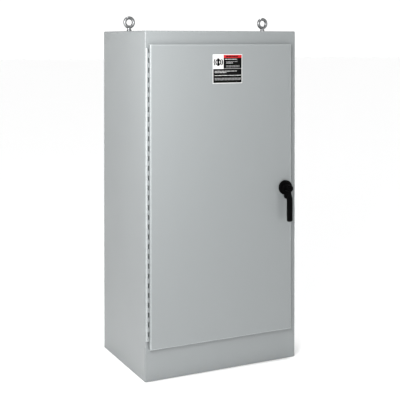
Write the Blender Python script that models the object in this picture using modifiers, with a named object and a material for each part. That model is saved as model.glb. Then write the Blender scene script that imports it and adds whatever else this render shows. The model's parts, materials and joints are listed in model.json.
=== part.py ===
"""Manual transfer switch in a floor-standing steel enclosure.

Metres, +Z up.  The front of the cabinet faces -Y.  The origin is the bottom centre of the
whole object's box, latch handle included, with the door closed and the switch on NORMAL.
"""

import math

import bmesh
import bpy
from mathutils import Matrix, Vector

INCH = 0.0254

# Cabinet
WIDTH = 36 * INCH
DEPTH = 24 * INCH
HEIGHT = 72 * INCH
SHEET = 0.0027
HANDLE_REACH = 0.085
LEFT = -WIDTH / 2
RIGHT = WIDTH / 2
FRONT = -(DEPTH - HANDLE_REACH) / 2
BACK = FRONT + DEPTH
CORNER = 0.006
DRILLED = 0.007
GAP = 0.0003

# Door
DOOR_X = (LEFT + 0.0197, LEFT + 0.8725)
DOOR_Z = (0.1694, 1.7576)
DOOR_FACE = FRONT - 0.025
DOOR_INSIDE = DOOR_FACE + SHEET
DOOR_REAR = FRONT - 0.0015
DOOR_BEND = 0.005

# Opening in the cabinet's front: a lip turned forward, and the gasket that closes on it
LIP_INSET = 0.0105
LIP_X = (DOOR_X[0] + LIP_INSET, DOOR_X[1] - LIP_INSET)
LIP_Z = (DOOR_Z[0] + LIP_INSET, DOOR_Z[1] - LIP_INSET)
LIP_FRONT = FRONT - 0.012
GASKET_OUT = 0.005
GASKET_IN = 0.005

# Continuous hinge
HINGE_X = LEFT + 0.0065
HINGE_Y = FRONT - 0.0075
HINGE_Z = 0.214
KNUCKLE = INCH
KNUCKLES = 60
KNUCKLE_GAP = 0.0004
BARREL_RADIUS = 0.00635
PIN_RADIUS = 0.003
PIN_BORE = 0.0036
LEAF = 0.0019

# Latch: handle, pinion and two racks on rods
LATCH_X = LEFT + 0.831
LATCH_Z = 0.963
PITCH_RADIUS = 0.012
TEETH = 12
TOOTH_PITCH = 2 * math.pi * PITCH_RADIUS / TEETH
ROD_Y = (FRONT + 0.006, FRONT + 0.016)
ROD_NEAR = 0.0142
ROD_FAR = 0.0222
ROLLER_RADIUS = 0.008
ROLLER_PAST_EDGE = 0.0076
SPINDLE_RADIUS = 0.006
SPINDLE_BORE = 0.0066
BASE_RADIUS = 0.0385
BASE_FRONT = DOOR_FACE - 0.0143
HUB_RADIUS = 0.0175
HUB_REAR = FRONT - 0.050
HUB_FRONT = FRONT - 0.0842
ARM_Y = (FRONT - 0.082, FRONT - 0.068)
SPINDLE_END = FRONT - 0.066
LOCK_DEPTH = 0.011
PLUG_FRONT = FRONT - HANDLE_REACH

# Lifting eyes
EYE_INSET = 0.035
EYE_Y = FRONT + DEPTH / 2
EYE_RING = 0.0265
EYE_WIRE = 0.0075
EYE_CENTRE = HEIGHT + 0.0475
EYE_SHANK = 0.0063

# Switch inside
PANEL_X = (LEFT + 0.077, RIGHT - 0.077)
PANEL_Y = (FRONT + 0.572, FRONT + 0.575)
PANEL_Z = (0.130, 1.700)
BOARD_X = (-0.260, 0.260)
BOARD_Y = (PANEL_Y[0] - GAP - 0.012, PANEL_Y[0] - GAP)
BOARD_Z = (0.620, 1.380)
SHAFT_Y = FRONT + 0.462
SHAFT_Z = 1.000
SHAFT_RADIUS = 0.0125
SHAFT_BORE = 0.0132
POLE_PITCH = 0.150
THROW_HALF = math.radians(40)
LEVER_X = 0.282
BUS = 0.006
BUS_Y = (BOARD_Y[0] - GAP - BUS, BOARD_Y[0] - GAP)
BLADE_HALF = 0.007
POLES = (("a", -POLE_PITCH), ("b", 0.0), ("c", POLE_PITCH))

NAME = "manual_transfer_switch"


# ---------------------------------------------------------------- scene and materials


def clear_scene():
    for obj in list(bpy.data.objects):
        bpy.data.objects.remove(obj)
    for name in (NAME, "cutters"):
        bpy.context.scene.collection.children.link(bpy.data.collections.new(name))


def finish_material(name, colour, roughness, metallic):
    made = bpy.data.materials.new(name)
    made.use_nodes = True
    shader = made.node_tree.nodes["Principled BSDF"]
    shader.inputs["Base Color"].default_value = (*colour, 1.0)
    shader.inputs["Roughness"].default_value = roughness
    shader.inputs["Metallic"].default_value = metallic
    made.diffuse_color = (*colour, 1.0)
    return made


def make_materials():
    return {
        "paint": finish_material("grey_paint", (0.42, 0.44, 0.44), 0.45, 0.0),
        "zinc": finish_material("zinc_plate", (0.62, 0.63, 0.63), 0.35, 0.9),
        "black": finish_material("black_casting", (0.015, 0.015, 0.016), 0.45, 0.0),
        "rubber": finish_material("gasket_rubber", (0.02, 0.02, 0.02), 0.85, 0.0),
        "steel": finish_material("bright_steel", (0.55, 0.56, 0.57), 0.3, 1.0),
        "copper": finish_material("copper_bus", (0.72, 0.36, 0.22), 0.3, 1.0),
        "aluminium": finish_material("aluminium_lug", (0.75, 0.76, 0.77), 0.35, 1.0),
        "board": finish_material("insulating_board", (0.38, 0.10, 0.06), 0.5, 0.0),
        "white": finish_material("panel_white", (0.80, 0.80, 0.78), 0.4, 0.0),
        "label": finish_material("label_face", (0.75, 0.75, 0.73), 0.4, 0.0),
        "red": finish_material("red_insulator", (0.45, 0.03, 0.02), 0.4, 0.0),
    }


# ---------------------------------------------------------------- shape helpers


def add_mesh(name, bm, centre, collection=NAME):
    """Makes an object whose origin is at centre from a bmesh drawn in world coordinates."""
    bmesh.ops.translate(bm, verts=bm.verts, vec=-Vector(centre))
    bmesh.ops.recalc_face_normals(bm, faces=bm.faces)
    mesh = bpy.data.meshes.new(name)
    bm.to_mesh(mesh)
    bm.free()
    made = bpy.data.objects.new(name, mesh)
    made.location = centre
    bpy.data.collections[collection].objects.link(made)
    if collection == "cutters":
        made.hide_render = True
        made.display_type = "WIRE"
    return made


def middle(low, high):
    return (Vector(low) + Vector(high)) / 2


def draw_block(bm, low, high):
    size = Vector(high) - Vector(low)
    matrix = Matrix.Translation(middle(low, high)) @ Matrix.Diagonal((*size, 1.0))
    return bmesh.ops.create_cube(bm, size=1.0, matrix=matrix)["verts"]


def draw_round(bm, start, end, radius, sides=16, end_radius=None):
    """A cylinder, or a cone, from start to end."""
    run = Vector(end) - Vector(start)
    turn = run.to_track_quat("Z", "Y").to_matrix().to_4x4()
    bmesh.ops.create_cone(
        bm,
        cap_ends=True,
        segments=sides,
        radius1=radius,
        radius2=radius if end_radius is None else end_radius,
        depth=run.length,
        matrix=Matrix.Translation(middle(start, end)) @ turn,
    )


def block(name, low, high, collection=NAME, rounded=0.0, segments=4, pick=None):
    bm = bmesh.new()
    draw_block(bm, low, high)
    if rounded:
        chosen = [e for e in bm.edges if pick is None or pick(e)]
        bmesh.ops.bevel(
            bm, geom=chosen, offset=rounded, segments=segments, affect="EDGES", profile=0.5
        )
    return add_mesh(name, bm, middle(low, high), collection)


def blocks(name, boxes, collection="cutters"):
    """Separate blocks in one object."""
    bm = bmesh.new()
    for low, high in boxes:
        draw_block(bm, low, high)
    return add_mesh(name, bm, middle(*boxes[0]), collection)


def rounds(name, ends, radius, sides=16, collection="cutters"):
    """Separate cylinders of one radius in one object."""
    bm = bmesh.new()
    for start, end in ends:
        draw_round(bm, start, end, radius, sides)
    return add_mesh(name, bm, middle(*ends[0]), collection)


def combine(target, other, operation):
    modifier = target.modifiers.new(other.name, "BOOLEAN")
    modifier.operation = operation
    modifier.solver = "EXACT"
    modifier.object = other
    return target


def cut(target, other):
    return combine(target, other, "DIFFERENCE")


def join(target, other):
    return combine(target, other, "UNION")


def arc(centre, radius, start, end, steps):
    """Points on an arc, angles in degrees, both ends included."""
    points = []
    for step in range(steps + 1):
        angle = math.radians(start + (end - start) * step / steps)
        points.append((centre[0] + radius * math.cos(angle), centre[1] + radius * math.sin(angle)))
    return points


def upright_outline(name, points, y_range, at, turn=0.0):
    """A flat outline in the XZ plane, thick along Y and turned about it.  Points count from at."""
    curve = bpy.data.curves.new(name, "CURVE")
    curve.dimensions = "2D"
    curve.fill_mode = "BOTH"
    curve.extrude = (y_range[1] - y_range[0]) / 2
    spline = curve.splines.new("POLY")
    spline.points.add(len(points) - 1)
    for point, (x, z) in zip(spline.points, points):
        point.co = (x, z, 0.0, 1.0)
    spline.use_cyclic_u = True
    drawn = bpy.data.objects.new(name + "_curve", curve)
    bpy.context.scene.collection.objects.link(drawn)
    drawn.location = (at[0], sum(y_range) / 2, at[1])
    drawn.rotation_euler = (math.pi / 2, turn, 0.0)
    bpy.context.view_layer.update()
    evaluated = drawn.evaluated_get(bpy.context.evaluated_depsgraph_get())
    bm = bmesh.new()
    bm.from_mesh(bpy.data.meshes.new_from_object(evaluated))
    bmesh.ops.transform(bm, matrix=drawn.matrix_world, verts=bm.verts)
    bmesh.ops.remove_doubles(bm, verts=bm.verts, dist=1e-6)
    centre = drawn.location.copy()
    bpy.data.objects.remove(drawn)
    bpy.data.curves.remove(curve)
    return add_mesh(name, bm, centre)


def dress(obj, material, smooth=False):
    obj.data.materials.append(material)
    if smooth:
        obj.data.shade_smooth()
        obj.data.set_sharp_from_angle(angle=math.radians(35))
    return obj


def joint_empty(name, at, parent=None):
    made = bpy.data.objects.new(name, None)
    made.empty_display_size = 0.05
    made.location = at
    bpy.data.collections[NAME].objects.link(made)
    if parent:
        hang(parent, [made])
    return made


def hang(parent, children):
    """Parents the children where they stand."""
    bpy.context.view_layer.update()
    for child in children:
        child.parent = parent
        child.matrix_parent_inverse = parent.matrix_world.inverted()


# ---------------------------------------------------------------- cabinet


def make_cabinet(mats):
    """The welded shell, open below, and the plate that closes its base."""
    body = block(
        "enclosure_body",
        (LEFT, FRONT, 0.0),
        (RIGHT, BACK, HEIGHT),
        rounded=CORNER,
        pick=lambda edge: any(v.co.z > HEIGHT / 2 for v in edge.verts),
    )
    cut(body, block(
        "cabinet_cavity",
        (LEFT + SHEET, FRONT + SHEET, -SHEET),
        (RIGHT - SHEET, BACK - SHEET, HEIGHT - SHEET),
        "cutters",
    ))
    join(body, block(
        "lip_block",
        (LIP_X[0], LIP_FRONT, LIP_Z[0]),
        (LIP_X[1], FRONT + SHEET / 2, LIP_Z[1]),
        "cutters",
    ))
    cut(body, block(
        "opening_block",
        (LIP_X[0] + SHEET, LIP_FRONT - 0.01, LIP_Z[0] + SHEET),
        (LIP_X[1] - SHEET, FRONT + 0.01, LIP_Z[1] - SHEET),
        "cutters",
    ))
    join(body, rounds("stud_collars", stud_runs(PANEL_Y[1] + GAP), 0.010, 12))
    join(body, rounds("stud_threads", stud_runs(PANEL_Y[0] - 0.018), 0.005, 8))
    cut(body, rounds("eye_holes", eye_runs(), DRILLED, 12))
    base = block(
        "base_plate",
        (LEFT + SHEET + GAP, FRONT + SHEET + GAP, 0.0),
        (RIGHT - SHEET - GAP, BACK - SHEET - GAP, SHEET),
    )
    cut(base, rounds("anchor_holes", anchor_runs(), DRILLED, 12))
    dress(body, mats["paint"], True)
    dress(base, mats["paint"])


def stud_places():
    inset = 0.030
    return [
        (x, z)
        for x in (PANEL_X[0] + inset, PANEL_X[1] - inset)
        for z in (PANEL_Z[0] + inset, PANEL_Z[1] - inset)
    ]


def stud_runs(front):
    return [((x, BACK - SHEET / 2, z), (x, front, z)) for x, z in stud_places()]


def anchor_runs():
    inset = 0.060
    return [
        ((x, y, -0.01), (x, y, 0.01))
        for x in (LEFT + inset, RIGHT - inset)
        for y in (FRONT + inset, BACK - inset)
    ]


def eye_runs():
    return [((x, EYE_Y, HEIGHT - 0.01), (x, EYE_Y, HEIGHT + 0.01)) for x in eye_places()]


def eye_places():
    return (LEFT + EYE_INSET, RIGHT - EYE_INSET)


def make_lifting_eyes(mats):
    for side, x in zip(("left", "right"), eye_places()):
        base = HEIGHT + GAP
        eye = draw_torus("lifting_eye_" + side, (x, EYE_Y, EYE_CENTRE))
        bm = bmesh.new()
        draw_round(bm, (x, EYE_Y, base), (x, EYE_Y, base + 0.008), 0.0135, 20)
        join(eye, add_mesh("eye_collar_" + side, bm, (x, EYE_Y, base), "cutters"))
        bm = bmesh.new()
        neck_top = EYE_CENTRE - EYE_RING + 0.003
        draw_round(bm, (x, EYE_Y, base + 0.006), (x, EYE_Y, neck_top), 0.0105, 16, 0.0075)
        join(eye, add_mesh("eye_neck_" + side, bm, (x, EYE_Y, base), "cutters"))
        bm = bmesh.new()
        draw_round(bm, (x, EYE_Y, HEIGHT - 0.022), (x, EYE_Y, base + 0.004), EYE_SHANK, 12)
        join(eye, add_mesh("eye_shank_" + side, bm, (x, EYE_Y, base), "cutters"))
        dress(eye, mats["zinc"], True)
        make_eye_nut(side, x, mats)


def draw_torus(name, centre):
    bpy.ops.mesh.primitive_torus_add(
        major_radius=EYE_RING,
        minor_radius=EYE_WIRE,
        major_segments=28,
        minor_segments=10,
        location=centre,
        rotation=(math.pi / 2, 0.0, 0.0),
    )
    ring = bpy.context.object
    ring.name = name
    for holder in ring.users_collection:
        holder.objects.unlink(ring)
    bpy.data.collections[NAME].objects.link(ring)
    return ring


def make_eye_nut(side, x, mats):
    top = HEIGHT - SHEET - GAP
    nut_run = ((x, EYE_Y, top - 0.010), (x, EYE_Y, top))
    nut = rounds("lifting_eye_nut_" + side, [nut_run], 0.0115, 6, NAME)
    cut(nut, rounds(
        "eye_nut_bore_" + side, [((x, EYE_Y, top - 0.02), (x, EYE_Y, top + 0.01))], 0.0069, 12
    ))
    dress(nut, mats["zinc"])


# ---------------------------------------------------------------- hinge


def knuckle_spans(first):
    """Z spans of every second knuckle, counted from the bottom."""
    return [
        (HINGE_Z + k * KNUCKLE + KNUCKLE_GAP / 2, HINGE_Z + (k + 1) * KNUCKLE - KNUCKLE_GAP / 2)
        for k in range(first, KNUCKLES, 2)
    ]


def make_leaf(name, strip, tab, spans, mats):
    """A hinge leaf: a plate, tabs from it to its knuckles, and the knuckles."""
    top = HINGE_Z + KNUCKLES * KNUCKLE
    leaf = block(name, (strip[0], strip[2], HINGE_Z), (strip[1], strip[3], top))
    join(leaf, blocks(name + "_tabs", [
        ((tab[0], tab[2], low), (tab[1], tab[3], high)) for low, high in spans
    ]))
    join(leaf, rounds(name + "_knuckles", [
        ((HINGE_X, HINGE_Y, low), (HINGE_X, HINGE_Y, high)) for low, high in spans
    ], BARREL_RADIUS, 12))
    cut(leaf, rounds(name + "_bore", [
        ((HINGE_X, HINGE_Y, HINGE_Z - 0.01), (HINGE_X, HINGE_Y, top + 0.01))
    ], PIN_BORE, 8))
    return dress(leaf, mats["paint"], True)


def make_hinge(mats):
    """The body's leaf and the pin stay; the door's leaf is returned to swing with the door."""
    make_leaf(
        "hinge_leaf_body",
        (HINGE_X + 0.0071, LEFT + 0.0185, FRONT - GAP - LEAF, FRONT - GAP),
        (HINGE_X, HINGE_X + 0.0080, FRONT - GAP - LEAF + 0.0001, FRONT - GAP - 0.0001),
        knuckle_spans(1),
        mats,
    )
    door_leaf = make_leaf(
        "hinge_leaf_door",
        (DOOR_X[0] - 0.0003 - LEAF, DOOR_X[0] - 0.0003, DOOR_FACE + 0.002, FRONT - 0.0025),
        (HINGE_X, DOOR_X[0] - 0.001, HINGE_Y - BARREL_RADIUS + 0.0002, HINGE_Y - 0.0044),
        knuckle_spans(0),
        mats,
    )
    top = HINGE_Z + KNUCKLES * KNUCKLE
    pin_run = ((HINGE_X, HINGE_Y, HINGE_Z), (HINGE_X, HINGE_Y, top))
    pin = rounds("hinge_pin", [pin_run], PIN_RADIUS, 8, NAME)
    dress(pin, mats["steel"], True)
    return door_leaf


# ---------------------------------------------------------------- door


def make_door(mats):
    low = (DOOR_X[0], DOOR_FACE, DOOR_Z[0])
    high = (DOOR_X[1], DOOR_REAR, DOOR_Z[1])
    half_way = (DOOR_FACE + DOOR_REAR) / 2
    door = block(
        "door",
        low,
        high,
        rounded=DOOR_BEND,
        pick=lambda edge: all(v.co.y < half_way for v in edge.verts),
    )
    cut(door, block(
        "door_pan",
        (low[0] + SHEET, DOOR_INSIDE, low[2] + SHEET),
        (high[0] - SHEET, DOOR_REAR + 0.01, high[2] - SHEET),
        "cutters",
    ))
    cut(door, rounds("door_spindle_hole", [
        ((LATCH_X, DOOR_FACE - 0.01, LATCH_Z), (LATCH_X, DOOR_INSIDE + 0.01, LATCH_Z))
    ], 0.0095, 16))
    return dress(door, mats["paint"], True)


def make_gasket(mats):
    y_range = (DOOR_INSIDE + GAP, LIP_FRONT - GAP)
    gasket = block(
        "door_gasket",
        (LIP_X[0] - GASKET_OUT, y_range[0], LIP_Z[0] - GASKET_OUT),
        (LIP_X[1] + GASKET_OUT, y_range[1], LIP_Z[1] + GASKET_OUT),
    )
    cut(gasket, block(
        "gasket_hole",
        (LIP_X[0] + GASKET_IN, y_range[0] - 0.01, LIP_Z[0] + GASKET_IN),
        (LIP_X[1] - GASKET_IN, y_range[1] + 0.01, LIP_Z[1] - GASKET_IN),
        "cutters",
    ))
    return dress(gasket, mats["rubber"])


def make_label(mats):
    centre = (LEFT + 0.4684, 1.6249)
    half = (0.0915, 0.0808)
    label = block(
        "notice_label",
        (centre[0] - half[0], DOOR_FACE - GAP - 0.0005, centre[1] - half[1]),
        (centre[0] + half[0], DOOR_FACE - GAP, centre[1] + half[1]),
    )
    return dress(label, mats["label"])


def make_stiffener(mats):
    x = (-0.031, 0.009)
    y = (DOOR_INSIDE + GAP, DOOR_INSIDE + 0.016)
    z = (DOOR_Z[0] + 0.070, DOOR_Z[1] - 0.070)
    channel = block("door_stiffener", (x[0], y[0], z[0]), (x[1], y[1], z[1]))
    cut(channel, block(
        "stiffener_hollow",
        (x[0] + 0.002, y[0] - 0.01, z[0] - 0.01),
        (x[1] - 0.002, y[1] - 0.002, z[1] + 0.01),
        "cutters",
    ))
    return dress(channel, mats["paint"])


def make_print_pocket(mats):
    x = (0.040, 0.300)
    y = (DOOR_INSIDE + GAP, DOOR_INSIDE + 0.025)
    z = (0.640, 0.860)
    wall = 0.002
    pocket = block("print_pocket", (x[0], y[0], z[0]), (x[1], y[1], z[1]))
    cut(pocket, block(
        "pocket_hollow",
        (x[0] + wall, y[0] + wall, z[0] + wall),
        (x[1] - wall, y[1] - wall, z[1] + 0.01),
        "cutters",
    ))
    return dress(pocket, mats["paint"])


# ---------------------------------------------------------------- latch


def make_latch_base(mats):
    """The round escutcheon with its lower lobe, spindle boss and sleeve."""
    lobe = (0.009, -0.050)
    lobe_radius = 0.014
    right = math.degrees(math.acos((lobe[0] + lobe_radius) / BASE_RADIUS))
    left = math.degrees(math.acos((lobe[0] - lobe_radius) / BASE_RADIUS))
    points = arc((0.0, 0.0), BASE_RADIUS, -right, 360.0 - left, 28)
    points += arc(lobe, lobe_radius, 180.0, 360.0, 10)
    base = upright_outline(
        "latch_base", points, (BASE_FRONT, DOOR_FACE - GAP), (LATCH_X, LATCH_Z)
    )
    boss_rear = (LATCH_X, BASE_FRONT + 0.002, LATCH_Z)
    boss_front = (LATCH_X, HUB_REAR + 0.0006, LATCH_Z)
    bm = bmesh.new()
    draw_round(bm, boss_rear, boss_front, 0.019, 24, 0.016)
    join(base, add_mesh("latch_base_boss", bm, boss_rear, "cutters"))
    join(base, rounds("latch_base_sleeve", [
        ((LATCH_X, DOOR_FACE - 0.004, LATCH_Z), (LATCH_X, DOOR_INSIDE + 0.001, LATCH_Z))
    ], 0.0089, 16))
    cut(base, rounds("latch_base_bore", [
        ((LATCH_X, HUB_REAR - 0.01, LATCH_Z), (LATCH_X, DOOR_INSIDE + 0.01, LATCH_Z))
    ], SPINDLE_BORE, 12))
    return dress(base, mats["black"], True)


def lever_outline():
    """The arm: a narrow neck below the hub that flares to the grip, and a tip with round corners."""
    neck = 0.0078
    grip = 0.0142
    grip_x = 0.0016
    flare = (-0.024, -0.062)
    corner = 0.008
    tip = -0.1835 + corner
    steps = 6
    left = [(-neck, -0.006)]
    right = [(neck, -0.006)]
    for step in range(steps + 1):
        share = step / steps
        z = flare[0] + (flare[1] - flare[0]) * share
        eased = share * share * (3.0 - 2.0 * share)
        half = neck + (grip - neck) * eased
        left.append((grip_x * eased - half, z))
        right.append((grip_x * eased + half, z))
    foot = arc((grip_x - grip + corner, tip), corner, 180.0, 270.0, 4)
    foot += arc((grip_x + grip - corner, tip), corner, 270.0, 360.0, 4)
    return left + foot + right[::-1]


def soften_edges(obj, width):
    soften = obj.modifiers.new("soft_edges", "BEVEL")
    soften.width = width
    soften.segments = 2
    soften.limit_method = "ANGLE"
    soften.angle_limit = math.radians(50)


def make_lever(mats):
    lever = upright_outline("latch_lever", lever_outline(), ARM_Y, (LATCH_X, LATCH_Z))
    soften_edges(lever, 0.004)
    join(lever, rounds("lever_hub", [
        ((LATCH_X, HUB_FRONT, LATCH_Z), (LATCH_X, HUB_REAR, LATCH_Z))
    ], HUB_RADIUS, 24))
    cut(lever, rounds("lever_bore", [
        ((LATCH_X, HUB_REAR + 0.01, LATCH_Z), (LATCH_X, SPINDLE_END - 0.0005, LATCH_Z))
    ], SPINDLE_BORE, 12))
    cut(lever, rounds("lever_lock_bore", [
        ((LATCH_X, HUB_FRONT - 0.01, LATCH_Z), (LATCH_X, HUB_FRONT + LOCK_DEPTH, LATCH_Z))
    ], 0.0093, 16))
    return dress(lever, mats["black"], True)


def make_lock_plug(mats):
    plug_rear = HUB_FRONT + LOCK_DEPTH - 0.0004
    plug = rounds("lock_plug", [
        ((LATCH_X, PLUG_FRONT, LATCH_Z), (LATCH_X, plug_rear, LATCH_Z))
    ], 0.0087, 16, NAME)
    cut(plug, block(
        "key_slot",
        (LATCH_X - 0.001, PLUG_FRONT - 0.01, LATCH_Z - 0.0045),
        (LATCH_X + 0.001, PLUG_FRONT + 0.006, LATCH_Z + 0.0045),
        "cutters",
    ))
    return dress(plug, mats["black"], True)


def make_spindle(mats):
    spindle = rounds("latch_spindle", [
        ((LATCH_X, SPINDLE_END, LATCH_Z), (LATCH_X, FRONT + 0.023, LATCH_Z))
    ], SPINDLE_RADIUS, 12, NAME)
    return dress(spindle, mats["steel"], True)


def make_pinion(mats):
    tip = 0.0016
    root = 0.0023
    half_widths = ((-root, 0.00145), (0.0, 0.00125), (tip, 0.00045))
    points = []
    for tooth in range(TEETH):
        middle_angle = 2 * math.pi * tooth / TEETH
        flank = [
            (PITCH_RADIUS + rise, half / (PITCH_RADIUS + rise)) for rise, half in half_widths
        ]
        for radius, turn in flank:
            points.append(polar(radius, middle_angle - turn))
        for radius, turn in reversed(flank):
            points.append(polar(radius, middle_angle + turn))
    pinion = upright_outline("latch_pinion", points, ROD_Y, (LATCH_X, LATCH_Z))
    cut(pinion, rounds("pinion_bore", [
        ((LATCH_X, ROD_Y[0] - 0.01, LATCH_Z), (LATCH_X, ROD_Y[1] + 0.01, LATCH_Z))
    ], SPINDLE_BORE, 12))
    return dress(pinion, mats["steel"])


def polar(radius, angle):
    return (radius * math.cos(angle), radius * math.sin(angle))


def rack_outline(far_end):
    """The upper rod seen from the front, with teeth on its left side."""
    first, last = -2, 6
    half_pitch, half_tip, half_root = 0.0012, 0.0005, 0.0022
    inner = PITCH_RADIUS + 0.0022
    low = (first - 0.5) * TOOTH_PITCH
    points = [(inner, low)]
    for tooth in range(first, last):
        z = (tooth + 0.5) * TOOTH_PITCH
        points += [
            (inner, z - half_root),
            (PITCH_RADIUS, z - half_pitch),
            (PITCH_RADIUS - 0.0016, z - half_tip),
            (PITCH_RADIUS - 0.0016, z + half_tip),
            (PITCH_RADIUS, z + half_pitch),
            (inner, z + half_root),
        ]
    points += [(inner, far_end), (ROD_FAR, far_end), (ROD_FAR, low)]
    return points


def make_rod(name, up, mats):
    """A latch rod with its rack, and the roller at its end.  up is +1 for the upper rod, else -1."""
    edge = LIP_Z[1] - SHEET if up > 0 else LIP_Z[0] + SHEET
    roller_y = FRONT + SHEET + GAP + ROLLER_RADIUS
    roller_z = edge + up * ROLLER_PAST_EDGE
    end = roller_z - up * 0.014
    turn = 0.0 if up > 0 else math.pi
    rod = upright_outline(
        name, rack_outline(abs(end - LATCH_Z)), ROD_Y, (LATCH_X, LATCH_Z), turn
    )

    def across(near, far):
        return sorted((LATCH_X + up * near, LATCH_X + up * far))

    def add_bar(suffix, x, inset, z):
        z = sorted(z)
        low = (x[0], ROD_Y[0] + inset, z[0])
        high = (x[1], ROD_Y[1] - inset, z[1])
        join(rod, block(name + suffix, low, high, "cutters"))

    tongue = ROD_NEAR - 0.0038
    add_bar("_tongue", across(tongue, ROD_NEAR - 0.0003), 0.001, (end - up * 0.012, roller_z + up * 0.005))
    add_bar("_root", across(tongue, ROD_NEAR + 0.001), 0.0012, (end - up * 0.0118, end - up * 0.001))
    rod_x = across(ROD_NEAR, ROD_FAR)
    axle_x = across(ROD_NEAR - 0.002, ROD_FAR)
    axle_run = ((axle_x[0], roller_y, roller_z), (axle_x[1], roller_y, roller_z))
    join(rod, rounds(name + "_axle", [axle_run], 0.0022, 8))
    roller_run = ((rod_x[0], roller_y, roller_z), (rod_x[1], roller_y, roller_z))
    roller = rounds(name.replace("rod", "roller"), [roller_run], ROLLER_RADIUS, 16, NAME)
    bore_run = ((rod_x[0] - 0.01, roller_y, roller_z), (rod_x[1] + 0.01, roller_y, roller_z))
    cut(roller, rounds(name + "_roller_bore", [bore_run], 0.0028, 8))
    return dress(rod, mats["zinc"]), dress(roller, mats["black"], True)


def make_rod_guide(name, side, z, mats):
    x = sorted((LATCH_X + side * 0.0110, LATCH_X + side * 0.0255))
    guide = block(name, (x[0], DOOR_INSIDE + GAP, z - 0.006), (x[1], FRONT + 0.021, z + 0.006))
    slot = sorted((LATCH_X + side * (ROD_NEAR - 0.0004), LATCH_X + side * (ROD_FAR + 0.0004)))
    cut(guide, block(
        name + "_slot",
        (slot[0], ROD_Y[0] - 0.0004, z - 0.02),
        (slot[1], ROD_Y[1] + 0.0004, z + 0.02),
        "cutters",
    ))
    return dress(guide, mats["black"])


def make_latch_case(mats):
    half = 0.0255
    wall = 0.0023
    y = (DOOR_INSIDE + GAP, FRONT + 0.021)
    z = (LATCH_Z - 0.055, LATCH_Z + 0.055)
    case = block("latch_case", (LATCH_X - half, y[0], z[0]), (LATCH_X + half, y[1], z[1]))
    cut(case, block(
        "latch_case_hollow",
        (LATCH_X - half + wall, y[0] - 0.01, z[0] - 0.01),
        (LATCH_X + half - wall, y[1] - wall, z[1] + 0.01),
        "cutters",
    ))
    cut(case, rounds("latch_case_bore", [
        ((LATCH_X, y[1] - 0.01, LATCH_Z), (LATCH_X, y[1] + 0.01, LATCH_Z))
    ], SPINDLE_BORE, 12))
    return dress(case, mats["zinc"])


# ---------------------------------------------------------------- switch


def make_panel(mats):
    panel = block(
        "mounting_panel", (PANEL_X[0], PANEL_Y[0], PANEL_Z[0]), (PANEL_X[1], PANEL_Y[1], PANEL_Z[1])
    )
    cut(panel, rounds("panel_holes", [
        ((x, PANEL_Y[0] - 0.01, z), (x, PANEL_Y[1] + 0.01, z)) for x, z in stud_places()
    ], 0.0058, 8))
    return dress(panel, mats["white"])


def make_board(mats):
    board = block(
        "switch_base", (BOARD_X[0], BOARD_Y[0], BOARD_Z[0]), (BOARD_X[1], BOARD_Y[1], BOARD_Z[1])
    )
    return dress(board, mats["board"])


def make_bearing(name, x, mats):
    thick = 0.006
    half = 0.026
    foot = 0.032
    y = (SHAFT_Y - 0.026, BOARD_Y[0] - GAP)
    bearing = block(name, (x - thick, y[0], SHAFT_Z - half), (x + thick, y[1], SHAFT_Z + half))
    join(bearing, block(
        name + "_foot", (x - 0.018, y[1] - 0.008, SHAFT_Z - foot), (x + 0.018, y[1], SHAFT_Z + foot),
        "cutters",
    ))
    cut(bearing, shaft_bore(name + "_bore", x, 0.03))
    return dress(bearing, mats["steel"])


def shaft_bore(name, x, reach, radius=SHAFT_BORE):
    return shaft_round(name, x, reach, radius, "cutters")


def shaft_round(name, x, half_length, radius, collection=NAME):
    """A cylinder round the shaft's axis, half_length to each side of x."""
    run = ((x - half_length, SHAFT_Y, SHAFT_Z), (x + half_length, SHAFT_Y, SHAFT_Z))
    return rounds(name, [run], radius, 16, collection)


def make_barrier(name, x, mats):
    barrier = block(
        name,
        (x - 0.0015, SHAFT_Y - 0.050, SHAFT_Z - 0.150),
        (x + 0.0015, BOARD_Y[0] - GAP, SHAFT_Z + 0.150),
    )
    cut(barrier, shaft_bore(name + "_bore", x, 0.02, 0.020))
    return dress(barrier, mats["board"])


def radial_block(name, x, near, far, offset, thickness, half_width, collection):
    """A bar along a line from the shaft at the rest angle, shifted square to that line."""
    bm = bmesh.new()
    draw_block(
        bm,
        (x - half_width, near, offset - thickness / 2),
        (x + half_width, far, offset + thickness / 2),
    )
    bmesh.ops.rotate(
        bm, verts=bm.verts, cent=(0, 0, 0), matrix=Matrix.Rotation(THROW_HALF, 3, "X")
    )
    bmesh.ops.translate(bm, verts=bm.verts, vec=(0.0, SHAFT_Y, SHAFT_Z))
    return add_mesh(name, bm, (x, SHAFT_Y, SHAFT_Z), collection)


def flip_about_shaft(obj):
    """Turns a normal-side piece into the emergency-side one."""
    for vertex in obj.data.vertices:
        vertex.co.z = 2 * (SHAFT_Z - obj.location.z) - vertex.co.z
    obj.data.flip_normals()


def make_contact(name, x, up, mats):
    """A fixed contact: a bar on the board and a finger that the blade's tip meets."""
    half = 0.012
    finger_thickness = 0.008
    bar_z = sorted((SHAFT_Z + up * 0.088, SHAFT_Z + up * 0.255))
    bar = block(name, (x - half, BUS_Y[0], bar_z[0]), (x + half, BUS_Y[1], bar_z[1]))
    finger = radial_block(
        name + "_finger", x, 0.058, 0.130, BLADE_HALF + GAP + finger_thickness / 2,
        finger_thickness, half - 0.001, "cutters",
    )
    if up < 0:
        flip_about_shaft(finger)
    join(bar, finger)
    return dress(bar, mats["copper"])


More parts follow.
